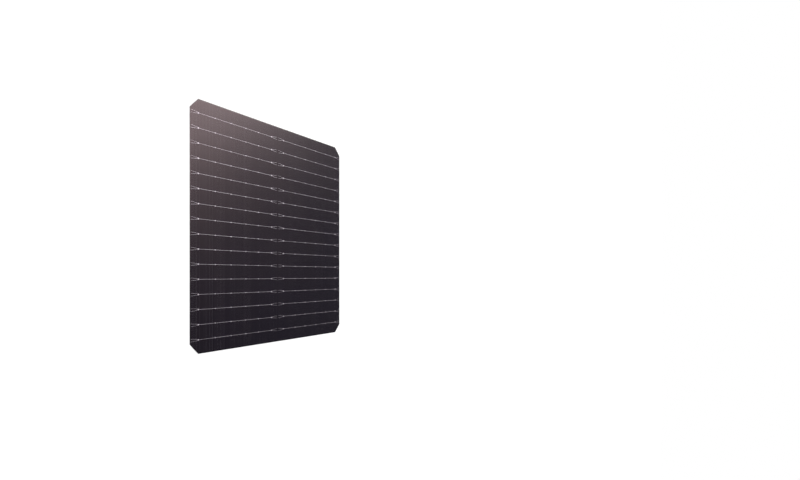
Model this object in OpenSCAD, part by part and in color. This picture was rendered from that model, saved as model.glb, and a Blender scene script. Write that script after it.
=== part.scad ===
// Solar cell: a square slice of monocrystalline silicon with rounded corners, printed with silver
// on both sides. Thin fingers gather the current, and busbars laid across them carry it to the
// solder pads. A bare lane along the middle splits the print, so that the cell can be cut into
// two halves. The cell lies with its sunny side up: +X runs along the busbars, +Y along the
// fingers, and the rear busbars rest on the plane z = 0.

/* [Wafer] */
// Edge length along the busbars
cell_l = 182; // [160:0.5:210]
// Edge length along the fingers
cell_w = 182; // [160:0.5:210]
// Length that a round corner takes off each end of the edge along the fingers
corner = 7.5; // [2:0.5:20]
// Thickness of the silicon
wafer_t = 0.15; // [0.1:0.01:0.3]

/* [Printed area] */
// Bare rim between the print and the edge of the wafer
rim = 0.7; // [0.5:0.1:3]
// Bare lane between the two printed halves, where the cell is cut
cut_lane = 1.8; // [0.6:0.1:4]

/* [Fingers] */
// Spacing of the front fingers, before it is evened out over the half
front_finger_pitch = 1.3; // [1:0.05:3]
// Spacing of the rear fingers, before it is evened out over the half
rear_finger_pitch = 1.6; // [1:0.05:3]
// Width of a finger
finger_w = 0.03; // [0.02:0.005:0.2]
// Width of the outermost fingers, which close a half along the lane and the rim
end_finger_w = 0.045; // [0.02:0.005:0.3]
// Height of a finger above the silicon
finger_t = 0.015; // [0.005:0.005:0.05]

/* [Busbars] */
// Number of busbars on each side
busbar_count = 16; // [5:1:20]
// Distance from the edge of the wafer to the first busbar
busbar_inset = 10; // [5:0.5:20]
// Width of a front busbar between its pads
busbar_w = 0.16; // [0.06:0.02:0.4]
// Width of a rear busbar
rear_busbar_w = 0.5; // [0.1:0.05:1.5]
// Height of a busbar above the fingers
busbar_t = 0.015; // [0.005:0.005:0.05]

/* [Solder pads] */
// Pads between the odd gap and the rim, on one half of a front busbar
rim_pads = 4; // [2:1:8]
// Pads between the odd gap and the lane, on one half of a front busbar
lane_pads = 2; // [2:1:8]
// Distance from the rim edge or the cut line to the centre of an end pad
pad_inset = 7.5; // [5:0.5:12]
// Spacing of the two pads beside the odd gap
odd_gap = 14; // [5:0.5:20]
// Length of a middle pad
pad_l = 1; // [0.8:0.05:3]
// Width of a middle pad
pad_w = 0.56; // [0.5:0.02:2]
// Length of an end pad
end_pad_l = 1.1; // [0.8:0.05:3]
// Width of an end pad
end_pad_w = 0.85; // [0.7:0.05:2]
// Length of the slope where a pad narrows to the line
pad_slope = 0.25; // [0.05:0.05:0.35]

/* [Forks] */
// Distance between the tips of the two tines, centre to centre
fork_spread = 1.84; // [0.8:0.02:3]
// Length of the straight tip of a tine
fork_tip = 1.4; // [0.4:0.1:2]
// Width of a tine
tine_w = 0.11; // [0.04:0.01:0.3]

/* [Hidden] */
half_l = cell_l / 2;
half_w = cell_w / 2;
lane_edge = cut_lane / 2;
busbar_pitch = (cell_w - 2 * busbar_inset) / (busbar_count - 1);
fork_half = (fork_spread + tine_w) / 2;

// Radius of the crystal that the wafer is sliced from: the circle that rounds the corners
crystal_r = norm([half_l, half_w - corner]);

// Heights of the layers, from the rear busbars up
rear_finger_z = busbar_t;
wafer_z = rear_finger_z + finger_t;
front_finger_z = wafer_z + wafer_t;
front_busbar_z = front_finger_z + finger_t;

silicon = [0.15, 0.13, 0.16];
silver = [0.80, 0.79, 0.78];

function busbar_name(side, i) = str(side, "_busbar_", i < 10 ? "0" : "", i);

// Farthest that print reaches along an edge of half length `half`, at a place `across` it
function print_reach(half, across) =
    min(half - rim, sqrt(pow(crystal_r - rim, 2) - pow(across, 2)));

// Middle of busbar i across the cell, counted from the +Y edge
function busbar_y(i) = half_w - busbar_inset - (i - 1) * busbar_pitch;

// Middle and width of each finger of the +X half: the first lies on the lane's edge, the last on the rim
function fingers(pitch) =
    let (
        first = lane_edge + end_finger_w / 2,
        span = half_l - rim - end_finger_w / 2 - first,
        steps = round(span / pitch)
    )
    [
        for (k = [0 : steps])
            [first + span * k / steps, k == 0 || k == steps ? end_finger_w : finger_w]
    ];

// Middles of the pads on one half busbar whose print ends at `reach`, from the lane to the rim
function pad_places(reach) =
    let (
        half = reach + rim,
        pitch = (half - 2 * pad_inset - odd_gap) / (lane_pads + rim_pads - 2)
    )
    concat(
        [for (k = [0 : lane_pads - 1]) pad_inset + k * pitch],
        [for (k = [rim_pads - 1 : -1 : 0]) half - pad_inset - k * pitch]
    );

// Upper edge of a middle pad with sloped ends, where it widens the busbar
function pad_edge(middle) = [
    [middle - pad_l / 2, busbar_w / 2],
    [middle - pad_l / 2 + pad_slope, pad_w / 2],
    [middle + pad_l / 2 - pad_slope, pad_w / 2],
    [middle + pad_l / 2, busbar_w / 2]
];

// Upper edge of an end pad with the tine that leaves its corner: from the crotch of the fork out to
// the tip, back to the pad and along it to the line. The fork points along X by `away`, 1 or -1.
function forked_pad_edge(middle, tip, away) =
    let (
        crotch = middle + away * end_pad_l / 2,
        line_end = middle - away * end_pad_l / 2,
        knee = tip - away * fork_tip,
        inner = (fork_spread - tine_w) / 2
    )
    [
        [crotch, end_pad_w / 2 - tine_w],
        [knee, inner],
        [tip, inner],
        [tip, fork_half],
        [knee, fork_half],
        [crotch, end_pad_w / 2],
        [line_end + away * pad_slope, end_pad_w / 2],
        [line_end, busbar_w / 2]
    ];

function reversed(points) = [for (k = [len(points) - 1 : -1 : 0]) points[k]];

// Whole edge of a shape that mirrors in the X axis, from the points of its upper edge
function mirrored_outline(upper) =
    concat(upper, [for (p = reversed(upper)) [p[0], -p[1]]]);

// Edge of one half of a front busbar: a forked pad at each end, and the pads on the line between them
function busbar_outline(reach) =
    let (
        places = pad_places(reach),
        last = len(places) - 1
    )
    mirrored_outline(concat(
        forked_pad_edge(places[0], lane_edge, -1),
        [for (k = [1 : last - 1]) each pad_edge(places[k])],
        reversed(forked_pad_edge(places[last], reach, 1))
    ));

module both_halves() {
    children();
    mirror([1, 0, 0]) children();
}

module silicon_wafer() {
    color(silicon)
        translate([0, 0, wafer_z])
            linear_extrude(wafer_t)
                intersection() {
                    square([cell_l, cell_w], center = true);
                    circle(r = crystal_r, $fn = 360);
                }
}

// Fingers of the +X half
module half_fingers(pitch, z) {
    for (finger = fingers(pitch)) {
        x = finger[0];
        width = finger[1];
        reach = print_reach(half_w, x + width / 2);
        translate([x - width / 2, -reach, z])
            cube([width, 2 * reach, finger_t]);
    }
}

module front_fingers_right() {
    color(silver) half_fingers(front_finger_pitch, front_finger_z);
}

module front_fingers_left() {
    mirror([1, 0, 0]) front_fingers_right();
}

module rear_fingers_right() {
    color(silver) half_fingers(rear_finger_pitch, rear_finger_z);
}

module rear_fingers_left() {
    mirror([1, 0, 0]) rear_fingers_right();
}

module front_busbar(i) {
    y = busbar_y(i);
    color(silver)
        translate([0, y, front_busbar_z])
            both_halves()
                linear_extrude(busbar_t)
                    polygon(busbar_outline(print_reach(half_l, abs(y) + fork_half)));
}

module rear_busbar(i) {
    y = busbar_y(i);
    reach = print_reach(half_l, abs(y) + rear_busbar_w / 2);
    color(silver)
        both_halves()
            translate([lane_edge, y - rear_busbar_w / 2, 0])
                cube([reach - lane_edge, rear_busbar_w, busbar_t]);
}

silicon_wafer();
front_fingers_left();
front_fingers_right();
rear_fingers_left();
rear_fingers_right();
for (i = [1 : busbar_count]) {
    front_busbar(i);
    rear_busbar(i);
}
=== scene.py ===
# %% [markdown]
# # Dressing a solar cell
# A solar cell is a slice of silicon, thinner than a playing card, with silver paste printed on
# both sides. The solids give its true sizes. This lesson adds what the eye reads as real: the dark
# sheen of the coated silicon, and paste that stands up as soft ridges and not as sharp bars. Its
# pieces could be measured anew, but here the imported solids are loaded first, so that each piece can
# take its place and size from the solid that it stands for.

# %% Load the solids
import math

import bpy
import numpy as np
from mathutils import Matrix, Vector


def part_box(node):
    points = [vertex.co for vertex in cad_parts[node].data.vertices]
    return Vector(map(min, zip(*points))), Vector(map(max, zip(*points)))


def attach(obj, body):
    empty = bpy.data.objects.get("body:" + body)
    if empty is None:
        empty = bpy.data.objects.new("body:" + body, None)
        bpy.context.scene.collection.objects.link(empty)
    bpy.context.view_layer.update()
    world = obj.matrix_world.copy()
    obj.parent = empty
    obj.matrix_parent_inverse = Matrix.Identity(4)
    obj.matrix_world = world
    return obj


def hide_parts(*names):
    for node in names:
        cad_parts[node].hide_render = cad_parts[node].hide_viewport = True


MM = 0.001

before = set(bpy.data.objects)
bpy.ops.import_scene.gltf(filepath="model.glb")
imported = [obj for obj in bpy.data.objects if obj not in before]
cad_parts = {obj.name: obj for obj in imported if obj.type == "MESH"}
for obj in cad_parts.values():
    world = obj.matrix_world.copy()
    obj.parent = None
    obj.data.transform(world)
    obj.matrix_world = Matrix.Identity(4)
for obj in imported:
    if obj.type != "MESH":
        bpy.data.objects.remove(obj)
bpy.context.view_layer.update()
scene = bpy.context.scene
scene.view_settings.view_transform = "Standard"
print(len(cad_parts), "solids loaded")

# %% [markdown]
# # Writing shaders as sums
# A material in Blender is a graph of nodes, and graphs built by hand are hard to read as code.
# Here one small class wraps an output socket. Adding or multiplying two of these wires places the
# Math node and its links, so a finish can be written as the formula that it is.

# %% A wire between nodes
class Wire:
    """One output socket. Arithmetic on it adds Math nodes, and node() adds any other node."""

    def __init__(self, tree, socket):
        self.tree = tree
        self.socket = socket

    def node(self, kind, settings=None, sockets=None, out=0):
        """Add a node: first its settings, then a value or a wire for each socket."""
        made = self.tree.nodes.new("ShaderNode" + kind)
        for name, value in (settings or {}).items():
            setattr(made, name, value)
        for name, value in (sockets or {}).items():
            if isinstance(value, Wire):
                self.tree.links.new(value.socket, made.inputs[name])
            else:
                made.inputs[name].default_value = value
        return Wire(self.tree, made.outputs[out]) if len(made.outputs) else None

    def math(self, operation, *values):
        """Add a Math node that takes the values in order."""
        return self.node("Math", {"operation": operation}, dict(enumerate(values)))

    def __add__(self, other):
        return self.math("ADD", self, other)

    def __radd__(self, other):
        return self.math("ADD", other, self)

    def __sub__(self, other):
        return self.math("SUBTRACT", self, other)

    def __rsub__(self, other):
        return self.math("SUBTRACT", other, self)

    def __mul__(self, other):
        return self.math("MULTIPLY", self, other)

    def __rmul__(self, other):
        return self.math("MULTIPLY", other, self)


def first_wire(owner, coordinate):
    """Clear the node tree of a material or world, and start it with one texture coordinate."""
    owner.use_nodes = True
    tree = owner.node_tree
    tree.nodes.clear()
    return Wire(tree, tree.nodes.new("ShaderNodeTexCoord").outputs[coordinate])


print("wires ready")

# %% [markdown]
# # The camera
# The cell lies flat. The picture looks down on it from beyond its -X edge, with the frame turned a
# quarter, so that the picture's upward direction is +Y, along the fingers. A Track To constraint could
# aim the camera, but it always keeps the horizon level. Writing the three axes of the camera as the
# columns of a matrix gives any turn directly.

# %% Place things by their axes
def place_by_axes(thing, where, axes):
    """Put a camera or lamp at a point, with its own x, y and z along the three directions given."""
    thing.matrix_world = Matrix.Translation(where) @ Matrix(axes).transposed().to_4x4()
    scene.collection.objects.link(thing)


wafer_low, wafer_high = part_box("silicon_wafer")
print("top of the wafer", round(wafer_high.z / MM, 3), "mm above the table")

# %% Place the camera
# Pixels of the picture: its width, the focal length, and how far below the middle the lens axis is
PICTURE_W = 800
FOCAL_PIXELS = 542.1
AXIS_BELOW_MIDDLE = 35.1
# How far the picture's rightward direction leans up from +X
LEAN = math.radians(61.42)
# The eye, from the middle of the wafer's top
EYE_X = -354.4 * MM
EYE_Y = -34.8 * MM
EYE_ABOVE = 311.4 * MM
NEAREST = 10.0 * MM

picture_right = Vector((math.cos(LEAN), 0.0, math.sin(LEAN)))
picture_up = Vector((0.0, 1.0, 0.0))
towards_eye = picture_right.cross(picture_up)

camera_data = bpy.data.cameras.new("camera")
camera_data.lens = FOCAL_PIXELS / PICTURE_W * camera_data.sensor_width
camera_data.shift_y = AXIS_BELOW_MIDDLE / PICTURE_W
camera_data.clip_start = NEAREST
camera = bpy.data.objects.new("camera", camera_data)
eye = Vector((EYE_X, EYE_Y, wafer_high.z + EYE_ABOVE))
place_by_axes(camera, eye, (picture_right, picture_up, towards_eye))
scene.camera = camera
print("lens", round(camera_data.lens, 2), "mm")

# %% [markdown]
# # The white room
# Dark silicon gets most of its look from what it reflects, so the room matters as much as its own
# colour. A studio has a bright band low down, where the white cloth rises behind the object, and a
# dimmer ceiling. A picture of a real room could be wrapped round the scene, but two levels with an easy
# step between them need no file and are simple to tune. Light Path tells the world which kind of ray
# asks: the camera sees white, a reflection sees the band and the ceiling, and everything else gets a
# plain soft fill.

# %% Ease between two levels
def smooth_step(value, start, end, before, after):
    """Level that stays at before up to start, eases over, and stays at after from end on."""
    return value.node(
        "MapRange",
        {"interpolation_type": "SMOOTHSTEP"},
        {"Value": value, "From Min": start, "From Max": end, "To Min": before, "To Max": after},
    )


print("easing ready")

# %% Light the room
FILL = 0.35
CEILING = 0.15
# Upward part of a direction at which the band ends, and at which the ceiling begins
BAND_END = 0.05
CEILING_START = 0.25

room = bpy.data.worlds.new("white_room")
scene.world = room
direction = first_wire(room, "Generated")
height = direction.node("SeparateXYZ", None, {"Vector": direction}, "Z")
reflected = smooth_step(height, BAND_END, CEILING_START, 1.0, CEILING)
seen = direction.node("LightPath", out="Is Camera Ray")
through = direction.node("LightPath", out="Is Transmission Ray")
mirrored = direction.node("LightPath", out="Is Glossy Ray")
level = FILL + (seen + through) * (1.0 - FILL) + mirrored * (reflected - FILL)
glow = direction.node("Background", None, {"Color": (1, 1, 1, 1), "Strength": level})
direction.node("OutputWorld", None, {"Surface": glow})
print("fill", FILL, "ceiling", CEILING)

# %% [markdown]
# # The window light
# One tall soft lamp stands on the far side, turned so that its blurred reflection falls across the
# -X, +Y corner of the cell. That reflection is the slow change from warm grey to near black that
# shows the silicon is smooth but not polished. A spot lamp would give a small hard gleam instead.

# %% Hang the soft lamp
LAMP_WATTS = 22.7
# Sizes of the lamp and its distance, in metres
LAMP_WIDTH = 0.39
LAMP_TALL = 1.3
LAMP_AWAY = 1.5
# Its direction from the cell, in radians: round from +X, and up
LAMP_TURN = 0.64
LAMP_RISE = 0.93

lamp_data = bpy.data.lights.new("window_light", "AREA")
lamp_data.shape = "RECTANGLE"
lamp_data.size = LAMP_WIDTH
lamp_data.size_y = LAMP_TALL
lamp_data.energy = LAMP_WATTS
lamp = bpy.data.objects.new("window_light", lamp_data)
outward = Vector((
    math.cos(LAMP_RISE) * math.cos(LAMP_TURN),
    math.cos(LAMP_RISE) * math.sin(LAMP_TURN),
    math.sin(LAMP_RISE),
))
sideways = Vector((0.0, 0.0, 1.0)).cross(outward).normalized()
place_by_axes(lamp, LAMP_AWAY * outward, (sideways, outward.cross(sideways), outward))
print("lamp at", [round(c, 2) for c in lamp.location])

# %% [markdown]
# # The table
# The table is a large round sheet. Close to the cell it is white card that takes a shadow. Farther
# out it turns into plain white for the camera, as an overlit backdrop does, so no edge or horizon
# shows. A curved backdrop could hide the horizon too, but only from one side. One disc with a mask on
# its distance from the middle works from all sides.

# %% Mix the white card
# Distances from the middle between which the card turns into plain white, in metres
CARD_R = 0.13
PLAIN_R = 0.35
CARD_GLOW = 0.2
CARD_WHITE = (0.85, 0.85, 0.85, 1)

card = bpy.data.materials.new("white_card")
spot = first_wire(card, "Object")
distance = spot.node("VectorMath", {"operation": "LENGTH"}, {0: spot}, "Value")
plain = smooth_step(distance, CARD_R, PLAIN_R, CARD_GLOW, 1.0)
looked_at = spot.node("LightPath", out="Is Camera Ray")
matt = spot.node("BsdfDiffuse", None, {"Color": CARD_WHITE})
white = spot.node("Emission", None, {"Color": (1, 1, 1, 1), "Strength": plain * looked_at})
lit = spot.node("AddShader", None, {0: matt, 1: white})
spot.node("OutputMaterial", None, {"Surface": lit})
print("card turns plain from", CARD_R, "to", PLAIN_R, "m")

# %% Spread the table
TABLE_R = 6.0
TABLE_SIDES = 96

turns = np.linspace(0.0, 2.0 * math.pi, TABLE_SIDES, endpoint=False)
rim_points = np.stack([np.cos(turns), np.sin(turns), np.zeros_like(turns)], axis=1) * TABLE_R
table_mesh = bpy.data.meshes.new("table")
table_mesh.from_pydata(rim_points.tolist(), [], [list(range(TABLE_SIDES))])
table_mesh.materials.append(card)
table = bpy.data.objects.new("table", table_mesh)
scene.collection.objects.link(table)
print("table", 2 * TABLE_R, "m across")

# %% [markdown]
# # Coated silicon
# The sunny side is etched into microscopic pyramids and coated with a film that turns it almost
# black, with a breath of violet. The film's thickness drifts a little from one place to another, so
# its hue does too. The wire saw leaves faint parallel streaks, and the etch leaves a fine grain. A
# picture of a wafer would blur from close up, so noise and waves at their true scale go into colour,
# roughness and bump. The dim, slightly warm mirror on top is the shader's own gloss.

# %% Texture helpers
def noise(place, scale, detail):
    """Cloudy texture from 0 to 1, with as many clouds to the metre as the scale says."""
    return place.node("TexNoise", None, {"Vector": place, "Scale": scale, "Detail": detail})


def around(texture, amount):
    """A texture from 0 to 1 as a change of half the amount down or up."""
    return (texture - 0.5) * amount


def blend_colours(share, low, high):
    """Colour that goes from low to high as the share goes from 0 to 1."""
    return share.node("Mix", {"data_type": "RGBA"}, {0: share, 6: low, 7: high}, 2)


print("textures ready")

# %% Lay out the textures of the silicon
# Scales of the film's patches, the etched grain and the saw's streaks
FILM_SCALE = 32.0
ETCH_SCALE = 6000.0
STREAK_SCALE = 420.0

silicon = bpy.data.materials.new("coated_silicon")
place = first_wire(silicon, "Object")
film_drift = noise(place, FILM_SCALE, 2.0)
etch = noise(place, ETCH_SCALE, 1.0)
streak = place.node(
    "TexWave",
    {"wave_type": "BANDS", "bands_direction": "Y"},
    {"Vector": place, "Scale": STREAK_SCALE, "Distortion": 3.0, "Detail": 2.0, "Detail Scale": 0.4},
)
print("patches of film about", round(1.0 / FILM_SCALE / MM), "mm across")

# %% Mix the silicon finish
BLUE_FILM = (0.0038, 0.0040, 0.0112, 1)
VIOLET_FILM = (0.0054, 0.0052, 0.0096, 1)
SILICON_GLOSS = 0.267
WARM_GLOSS = (1.0, 0.69, 0.69, 1)
SILICON_ROUGHNESS = 0.323
# How much each texture changes the roughness, and how the streaks and the grain stand up
FILM_ROUGH = 0.03
STREAK_ROUGH = 0.01
ETCH_ROUGH = 0.02
STREAK_SHARE = 0.5
ETCH_BUMP = 0.1
ETCH_DEPTH = 0.002 * MM

roughness = SILICON_ROUGHNESS + around(film_drift, FILM_ROUGH)
roughness = roughness + around(streak, STREAK_ROUGH) + around(etch, ETCH_ROUGH)
pits = {"Height": etch + streak * STREAK_SHARE, "Strength": ETCH_BUMP, "Distance": ETCH_DEPTH}
silicon_surface = place.node("BsdfPrincipled", None, {
    "Base Color": blend_colours(film_drift, BLUE_FILM, VIOLET_FILM),
    "Roughness": roughness,
    "Specular IOR Level": SILICON_GLOSS,
    "Specular Tint": WARM_GLOSS,
    "Normal": place.node("Bump", None, pits, "Normal"),
})
place.node("OutputMaterial", None, {"Surface": silicon_surface})
print("silicon roughness about", SILICON_ROUGHNESS)

# %% [markdown]
# # Fired silver paste
# Screen-printed silver isn't shiny: after firing it is a sponge of tiny flakes, so it scatters light
# like frosted metal. Grey plastic would look chalky, so this is a full metal with a high roughness.
# Fine grain varies the tone from flake to flake, and the bump keeps the ridges from looking moulded.
# Thick paste comes out a little brighter than thin lines. The fingers are given far less tone than the
# bars: that is painted shade, which darkens silver of the bars' colour as if their thin ridges stood
# partly in shadow. Each could have a finish of its own, but here each piece carries its tone as an
# attribute, and one finish serves them all.

# %% Mix the silver finish
SILVER_ROUGHNESS = 0.57
# Colours at a tone of 1, from dull flakes to bright ones; printed paste has a tone of a half or less
DULL_SILVER = (0.88, 0.80, 0.88, 1)
BRIGHT_SILVER = (1.27, 1.16, 1.27, 1)
# Scales of the flakes and of duller patches, and the flakes' share of the mottling
FLAKE_SCALE = 9000.0
PATCH_SCALE = 700.0
FLAKE_SHARE = 0.6
FLAKE_ROUGH = 0.16
FLAKE_BUMP = 0.4
FLAKE_DEPTH = 0.01 * MM

silver = bpy.data.materials.new("fired_silver")
place = first_wire(silver, "Object")
flakes = noise(place, FLAKE_SCALE, 2.0)
patches = noise(place, PATCH_SCALE, 1.0)
grain = flakes * FLAKE_SHARE + patches * (1.0 - FLAKE_SHARE)
mottled = blend_colours(grain, DULL_SILVER, BRIGHT_SILVER)
# The tone of each piece; on the fingers it also holds painted shade
tone_and_shade = place.node("Attribute", {"attribute_name": "tone_and_shade"}, None, "Fac")
paste = place.node("VectorMath", {"operation": "SCALE"}, {0: mottled, "Scale": tone_and_shade})
frost = {"Height": flakes, "Strength": FLAKE_BUMP, "Distance": FLAKE_DEPTH}
silver_surface = place.node("BsdfPrincipled", None, {
    "Base Color": paste,
    "Metallic": 1.0,
    "Roughness": SILVER_ROUGHNESS + around(flakes, FLAKE_ROUGH),
    "Normal": place.node("Bump", None, frost, "Normal"),
})
place.node("OutputMaterial", None, {"Surface": silver_surface})
print("silver roughness about", SILVER_ROUGHNESS)

# %% [markdown]
# # Sections carried along a path
# Every piece here is long and thin, or flat and thin, and has the same kind of section all along. So
# one function skins them all: it takes rows of closed sections and joins each to the next. Curves
# with a bevel could do it too, but arrays keep the exact sizes in sight.

# %% Skin closed sections
def skin(rings, start):
    """Points and faces of a batch of closed tubes, with the points counted from start.

    rings[b, s, k] is point k of section s on tube b. A band of quads joins each section to the
    next, and a flat face closes each end. A tube whose sections run clockwise about its path is
    turned the other way round, so that its faces point outwards.
    """
    follow = np.roll(rings, -1, axis=2)
    winding = np.cross(rings, follow).sum(axis=(1, 2))
    onward = rings[:, -1].mean(axis=1) - rings[:, 0].mean(axis=1)
    inside_out = (winding * onward).sum(axis=1) < 0.0
    rings = np.where(inside_out[:, None, None, None], rings[:, :, ::-1], rings)
    count = start + np.arange(rings[..., 0].size).reshape(rings.shape[:3])
    after = np.roll(count, -1, axis=2)
    quads = np.stack([count[:, :-1], after[:, :-1], after[:, 1:], count[:, 1:]], axis=-1)
    faces = quads.reshape(-1, 4).tolist() + count[:, 0, ::-1].tolist() + count[:, -1].tolist()
    return rings.reshape(-1, 3), faces


print("skin ready")

# %% Stand a mesh in for a solid
SHARP_ANGLE = math.radians(50.0)


def add_piece(name, batches, finish):
    """One mesh from batches of tubes and their tones. It rides with the cell, in its solid's place."""
    points = np.empty((0, 3))
    faces = []
    tones = []
    for rings, tone_and_shade in batches:
        batch_points, batch_faces = skin(rings, len(points))
        points = np.vstack([points, batch_points])
        faces += batch_faces
        tones.append(np.broadcast_to(np.asarray(tone_and_shade)[..., None], rings.shape[:3]).ravel())
    mesh = bpy.data.meshes.new(name)
    mesh.from_pydata(points.tolist(), [], faces)
    mesh.attributes.new("tone_and_shade", "FLOAT", "POINT").data.foreach_set("value", np.concatenate(tones))
    mesh.shade_smooth()
    mesh.set_sharp_from_angle(angle=SHARP_ANGLE)
    mesh.materials.append(finish)
    piece = bpy.data.objects.new(name + "_dressed", mesh)
    scene.collection.objects.link(piece)
    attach(piece, "root")
    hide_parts(name)
    return len(faces)


print("sharp from", round(math.degrees(SHARP_ANGLE)), "degrees")

# %% [markdown]
# # The wafer
# The wafer was sawn from a round crystal and squared, so its corners are pieces of that circle.
# Cutting a square with a cylinder and bevelling it would do, but in polar form the outline is one line:
# at each angle, the nearest of the four sides and the circle. Its edge isn't knife sharp: etching rounds
# it, so the section of the edge is a half-round profile that is carried round the outline.

# %% Read the corners of a solid
def solid_points(name):
    """Corners of a solid's mesh as rows of x, y, z."""
    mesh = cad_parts[name].data
    flat = np.empty(len(mesh.vertices) * 3)
    mesh.vertices.foreach_get("co", flat)
    return flat.reshape(-1, 3)


half_l = wafer_high.x
half_w = wafer_high.y
crystal_r = np.hypot(*solid_points("silicon_wafer")[:, :2].T).max()
print("crystal radius", round(crystal_r / MM, 1), "mm")

# %% Draw the outline
SIDE_STEPS = 5
CORNER_STEPS = 12
NEVER_ZERO = 1e-9


def wafer_outline(angle, inset):
    """The square cut by the circle, both drawn in by inset: the least of the distances at an angle."""
    to_ends = (half_l - inset) / np.maximum(np.abs(np.cos(angle)), NEVER_ZERO)
    to_sides = (half_w - inset) / np.maximum(np.abs(np.sin(angle)), NEVER_ZERO)
    radius = np.minimum(np.minimum(to_ends, to_sides), crystal_r - inset)
    return radius * np.cos(angle), radius * np.sin(angle)


first_corner = math.acos(half_l / crystal_r)
last_corner = math.asin(half_w / crystal_r)
quarter = np.concatenate([
    np.linspace(0.0, first_corner, SIDE_STEPS, endpoint=False),
    np.linspace(first_corner, last_corner, CORNER_STEPS, endpoint=False),
    np.linspace(last_corner, math.pi / 2, SIDE_STEPS, endpoint=False),
])
round_angle = (quarter + np.arange(4)[:, None] * math.pi / 2).ravel()
print(len(round_angle), "points round the wafer")

# %% Make the wafer
# Radius of the edge's rounding, and how far in from the edge the flat faces begin
EDGE_ROUND = 0.05 * MM
FLAT_FROM = 1.0 * MM
EDGE_STEPS = 5

sweep = np.linspace(0.0, math.pi / 2, EDGE_STEPS)
drawn_in = EDGE_ROUND * np.concatenate([1.0 - np.sin(sweep), 1.0 - np.cos(sweep)])
inset = np.concatenate([[FLAT_FROM], drawn_in, [FLAT_FROM]])
rise = EDGE_ROUND * np.concatenate([[0.0], 1.0 - np.cos(sweep)])
edge_z = np.concatenate([wafer_low.z + rise, wafer_high.z - rise[::-1]])
edge_x, edge_y = wafer_outline(round_angle[None, :], inset[:, None])
wafer_rings = np.stack([edge_x, edge_y, np.broadcast_to(edge_z[:, None], edge_x.shape)], axis=-1)
made = add_piece("silicon_wafer", [(wafer_rings[None], 1.0)], silicon)
print("wafer", made, "faces")

# %% [markdown]
# # A ridge of paste
# Wet paste slumps before it is fired, so a printed line ends up as a low rounded ridge, flat where it
# is wide. A half ellipse would leave a wide pad domed. A superellipse is flatter on top and steeper at
# the sides, and its power says how square the shoulders are. The ridge is that section carried along
# a path, with its own width and height at every station.

# %% Raise a ridge
SHOULDER = 2.0 / 3.0


def ridge(path, half_width, height, base, upward, points):
    """Sections of ridges: a half superellipse, across the path and up from the base plane.

    path[b, s] is station s of ridge b, in the plane of the wafer. A point of the section at angle
    t stands half_width * cos(t) ** SHOULDER across the path and height * sin(t) ** SHOULDER off it.
    """
    t = np.linspace(math.pi, 0.0, points)
    across = np.sign(np.cos(t)) * np.abs(np.cos(t)) ** SHOULDER
    lift = np.abs(np.sin(t)) ** SHOULDER
    along = np.gradient(path, axis=1)
    along /= np.linalg.norm(along, axis=2, keepdims=True)
    side = np.stack([-along[..., 1], along[..., 0]], axis=-1)
    half_width = np.broadcast_to(half_width, path.shape[:2])
    height = np.broadcast_to(height, path.shape[:2])
    flat = path[:, :, None] + side[:, :, None] * (half_width[:, :, None] * across)[..., None]
    up = base + upward * height[:, :, None] * lift
    return np.concatenate([flat, up[..., None]], axis=-1)


print("shoulder power", round(SHOULDER, 2))

# %% Thin out the ends
def stations(low, high, end):
    """Five places from low to high: both ends, a place a distance of end inside each, and the middle."""
    return np.stack([low, low + end, (low + high) / 2, high - end, high], axis=-1)


def thin_ends(tip):
    """Share of the full size at those five places: tip at both ends, and all of it between them."""
    return np.array([tip, 1.0, 1.0, 1.0, tip])


print("stations of a 10 mm line with 1 mm ends:", stations(0.0, 10.0, 1.0))

# %% [markdown]
# # Fingers
# The fingers are hair lines that gather the current. There are well over a hundred on each side, so each
# one gets only a handful of faces: a straight ridge whose ends thin out, as paste does where the
# screen ends. An Array modifier could repeat one finger, but the outermost are wider and the round
# corners cut some short, so their places are read back from the solids. No two take up the same amount
# of paste, so their tones differ a little, which shows as faint streaks from a step away. The streaks
# are made stronger towards the -X, -Y corner. The streaks
# are strongest towards the -X, -Y corner, where the print came out least even.

# %% Shape the fingers
# Length over which a finger thins out at each end, and the share of its size that is left there
FINGER_END = 0.1 * MM
FINGER_TIP = 0.4
FINGER_SECTION = 5
# Digits of a metre to which the corners on one edge of a bar agree
EDGE_DIGITS = 7


def finger_ridges(name, base, upward):
    """A ridge along Y for each bar of a solid: middle and width from its two x, length from its y."""
    corners = solid_points(name)
    corner_x = np.round(corners[:, 0], EDGE_DIGITS)
    edges = np.unique(corner_x)
    bar = np.searchsorted(edges, corner_x) // 2
    reach = np.zeros(len(edges) // 2)
    np.maximum.at(reach, bar, corners[:, 1])
    middle = edges.reshape(-1, 2).mean(axis=1)
    half_width = np.diff(edges.reshape(-1, 2), axis=1) / 2
    tall = np.abs(corners[:, 2] - base).max()
    y = stations(-reach, reach, FINGER_END)
    path = np.stack([np.broadcast_to(middle[:, None], y.shape), y], axis=-1)
    taper = thin_ends(FINGER_TIP)
    return ridge(path, half_width * taper, tall * taper, base, upward, FINGER_SECTION)


print(len(finger_ridges("front_fingers_left", wafer_high.z, 1.0)), "fingers on a front half")

# %% Say how strong the streaks are
# How uneven the print is all over, and how much stronger the streaks are made towards the -X, -Y corner
UNEVEN = 0.5
CORNER_STREAK_GAIN = 2.2


def streak_strength(spot):
    """Strength of the streaks at a spot: more by the shares of the way to the corner, multiplied and
    squared.
    """
    way_x = (1.0 - spot[..., 0] / half_l) / 2.0
    way_y = (1.0 - spot[..., 1] / half_w) / 2.0
    return UNEVEN + CORNER_STREAK_GAIN * (way_x * way_y) ** 2


print("in the middle of the cell the print is uneven by", round(streak_strength(np.zeros(2)), 2))

# %% Print the fingers
# The fingers' tone, about a third of the bars': painted shade, darkening silver of the bars' colour as if
# the thin ridges stood partly in shadow
FINGER_SHADED_TONE = 0.16
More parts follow.
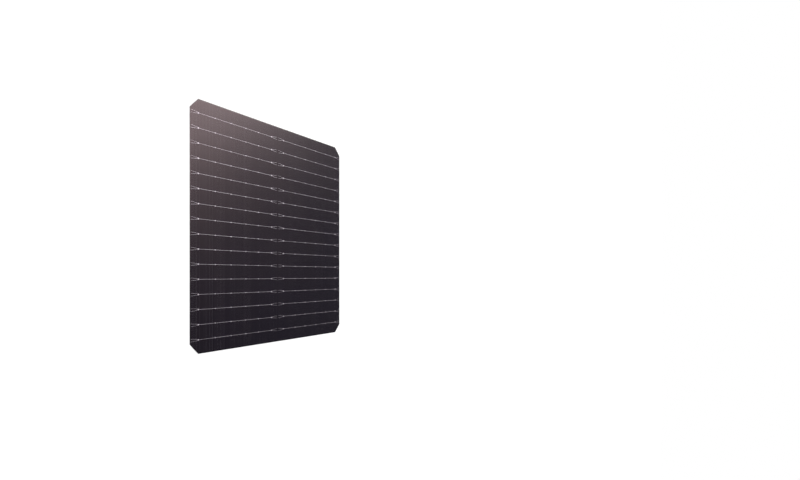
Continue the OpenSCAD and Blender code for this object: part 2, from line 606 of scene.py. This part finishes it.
# Share of its tone that a finger gains or loses where the streaks have a strength of 1: the usual one,
# and limits
TONE_DRIFT = 0.3
DRIFT_LIMITS = (-0.4, 0.8)
SEED = 2712

chance = np.random.default_rng(SEED)
for half in ("left", "right"):
    for side, base, upward in (("front", wafer_high.z, 1.0), ("rear", wafer_low.z, -1.0)):
        name = side + "_fingers_" + half
        ridges = finger_ridges(name, base, upward)
        drift = np.clip(TONE_DRIFT * chance.standard_normal((len(ridges), 1)), *DRIFT_LIMITS)
        shaded_finger_tones = FINGER_SHADED_TONE * (1.0 + drift * streak_strength(ridges.mean(axis=2)))
        add_piece(name, [(ridges, shaded_finger_tones)], silver)
        print(name, len(ridges), "fingers")

# %% [markdown]
# # Front busbars
# A front busbar is a string of solder pads on a thin line, and the pad at each end sends out a fork of
# two tines that spreads the current over more fingers. A Bevel modifier would soften the edges of the
# solid and leave its pads and tines angular. But its outline already holds all of their places: points
# near the axis belong to the line and its pads, points far out to the tines. So these are read back,
# and arcs lead from one width to the next, so that the pads come out as soft drops of paste, a little
# thicker and brighter than the line.

# %% Read the outline of a busbar
# Share of the half-width of the fork beyond which a corner belongs to a tine
TINES_BEYOND = 0.6
OUTLINE_DIGITS = 6


def stroke_and_tines(name):
    """What the outline of a busbar's +X half says, with y measured from the busbar's axis.

    Gives the axis's own y, the stroke as rows of x and half-width, the corners of the tines, and
    how far off the axis the tines leave their pads. Corners with y over TINES_BEYOND of the largest
    belong to tines, and at each x the half-width is the largest y of the others.
    """
    corners = solid_points(name)
    axis_y = (corners[:, 1].max() + corners[:, 1].min()) / 2
    upper = corners[(corners[:, 0] > 0) & (corners[:, 1] > axis_y), :2] - (0.0, axis_y)
    upper = np.unique(np.round(upper, OUTLINE_DIGITS), axis=0)
    tine = upper[:, 1] > TINES_BEYOND * upper[:, 1].max()
    near = upper[~tine]
    x, row = np.unique(near[:, 0], return_inverse=True)
    half_width = np.zeros(len(x))
    np.maximum.at(half_width, row, near[:, 1])
    root = near[near[:, 0] == x[0], 1].mean()
    return axis_y, np.stack([x, half_width], axis=1), upper[tine], root


axis_y, stroke, tines, root = stroke_and_tines("front_busbar_08")
print(len(stroke), "stroke points,", len(tines), "tine points")
print("tines leave", round(root / MM, 2), "mm off the axis")

# %% Shape the stroke
PAD_ROUND = 0.3 * MM
ARC_STEPS = 4


def rounded_ends(stroke):
    """The same stroke with its two blunt ends drawn in to half width over PAD_ROUND."""
    halved = (1.0, 0.5)
    inward = (PAD_ROUND, 0.0)
    first = [stroke[0] * halved, stroke[0] + inward]
    last = [stroke[-1] - inward, stroke[-1] * halved]
    return np.vstack([*first, stroke[1:-1], *last])


def pad_stroke(stroke):
    """Line with pads as x, half-width and fullness: from knot to knot the edge is a quarter ellipse.

    Over an angle a of a quarter turn, the share of the way gone along x is 1 - cos(a) where the
    stroke swells and sin(a) where it narrows, and the share gone in width is the other one. So the
    corners of a pad come out round. The fullness is 0 on the line and grows with the width, up to 1
    where the stroke is half as wide as its widest pad.
    """
    angle = np.arange(ARC_STEPS) / ARC_STEPS * math.pi / 2
    step = np.diff(stroke, axis=0)[:, None]
    slow_and_fast = np.stack([1.0 - np.cos(angle), np.sin(angle)], axis=1)
    gone = np.where(step[..., 1:] > 0.0, slow_and_fast, slow_and_fast[:, ::-1])
    edge = (stroke[:-1, None] + step * gone).reshape(-1, 2)
    x, half_width = np.vstack([edge, stroke[-1]]).T
    fullness = np.interp(half_width, [half_width.min(), half_width.max() / 2], [0.0, 1.0])
    return x, half_width, fullness


x, half_width, fullness = pad_stroke(rounded_ends(stroke))
print(len(x), "stations on a stroke, widest", round(2 * half_width.max() / MM, 2), "mm")

# %% Shape the tines
TINE_STEPS = 6
# Share of its sloping part that a tine reaches back into the pad, and how softly it bends at the knee
ROOT_SHARE = 0.08
KNEE_SOFTNESS = 0.004


def tine_curve(crotch, root, tips):
    """Tine as x, y and half-width: it slopes out from its root on the pad and levels off at the knee.

    With q as the way from the knee back towards the crotch, which is 1 there, y lies under the tip's
    level by (q + sqrt(q * q + KNEE_SOFTNESS)) / 2 of its spread: a hyperbola between the two lines.
    """
    places = np.unique(tips[:, 0])
    knee, tip = places[np.argsort(np.abs(places - crotch))]
    levels = np.unique(tips[:, 1])
    start = crotch + ROOT_SHARE * (crotch - knee)
    sloping = np.linspace(start, knee, TINE_STEPS)
    straight = np.linspace(knee, tip, TINE_STEPS)
    x = np.concatenate([sloping, straight[1:]])
    q = (x - knee) / (crotch - knee)
    under = (q + np.sqrt(q * q + KNEE_SOFTNESS)) / 2.0
    return x, levels.mean() - (levels.mean() - root) * under, np.ptp(levels) / 2


outer_tips = tines[tines[:, 0] > x.mean()]
tine_x, tine_y, tine_half = tine_curve(stroke[-1, 0], root, outer_tips)
print("a tine goes out to", round(tine_y.max() / MM, 2), "mm off the axis")

# %% Mirror the halves
def on_both_halves(x, y):
    """Paths on the +X half, followed by their mirror images on the -X half."""
    return np.concatenate([np.stack([x, y], axis=-1), np.stack([-x, y], axis=-1)])


print(len(on_both_halves(tine_x[None], tine_y[None])), "paths from one")

# %% Print the front busbars
# Heights of the line and the tines as shares of a pad's height
LINE_HEIGHT = 0.875
TINE_HEIGHT = 0.9
LINE_TONE = 0.45
PAD_TONE = 0.49
TINE_TONE = 0.5
STROKE_SECTION = 7
TINE_SECTION = 5

front_names = sorted(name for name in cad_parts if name.startswith("front_busbar"))
for name in front_names:
    axis_y, stroke, tines, root = stroke_and_tines(name)
    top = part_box(name)[1].z - wafer_high.z
    x, half_width, fullness = pad_stroke(rounded_ends(stroke))
    tall = top * (LINE_HEIGHT + (1.0 - LINE_HEIGHT) * fullness)
    path = on_both_halves(x[None], np.full((1, len(x)), axis_y))
    line = ridge(path, half_width, tall, wafer_high.z, 1.0, STROKE_SECTION)
    batches = [(line, LINE_TONE + (PAD_TONE - LINE_TONE) * fullness)]
    for crotch in stroke[[0, -1], 0]:
        own = np.abs(tines[:, 0] - crotch) < np.ptp(x) / 2
        tine_x, tine_y, tine_half = tine_curve(crotch, root, tines[own])
        path = on_both_halves(np.tile(tine_x, (2, 1)), axis_y + np.outer([1.0, -1.0], tine_y))
        fork = ridge(path, tine_half, TINE_HEIGHT * top, wafer_high.z, 1.0, TINE_SECTION)
        batches.append((fork, TINE_TONE))
    made = add_piece(name, batches, silver)
print(len(front_names), "front busbars,", made, "faces each")

# %% [markdown]
# # Rear busbars
# The rear side is printed for use and not for show: plain wide strips, split by the same bare lane. They
# are the lowest part of the cell, so the whole cell rests on them. The bare solids would nearly do, but
# their square edges catch the light as hard lines, so these are ridges too, low and wide.

# %% Print the rear busbars
REAR_TONE = 0.47
REAR_END = 0.2 * MM
REAR_TIP = 0.7
REAR_SECTION = 9

rear_names = sorted(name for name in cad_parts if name.startswith("rear_busbar"))
taper = thin_ends(REAR_TIP)
for name in rear_names:
    corners = solid_points(name)
    right = corners[corners[:, 0] > 0]
    x = stations(right[:, 0].min(), right[:, 0].max(), REAR_END)
    axis_y = (right[:, 1].max() + right[:, 1].min()) / 2
    path = on_both_halves(x[None], np.full((1, len(x)), axis_y))
    half_width = np.ptp(right[:, 1]) / 2 * taper
    deep = (wafer_low.z - right[:, 2].min()) * np.sqrt(taper)
    strips = ridge(path, half_width, deep, wafer_low.z, -1.0, REAR_SECTION)
    add_piece(name, [(strips, REAR_TONE)], silver)
print(len(rear_names), "rear busbars")
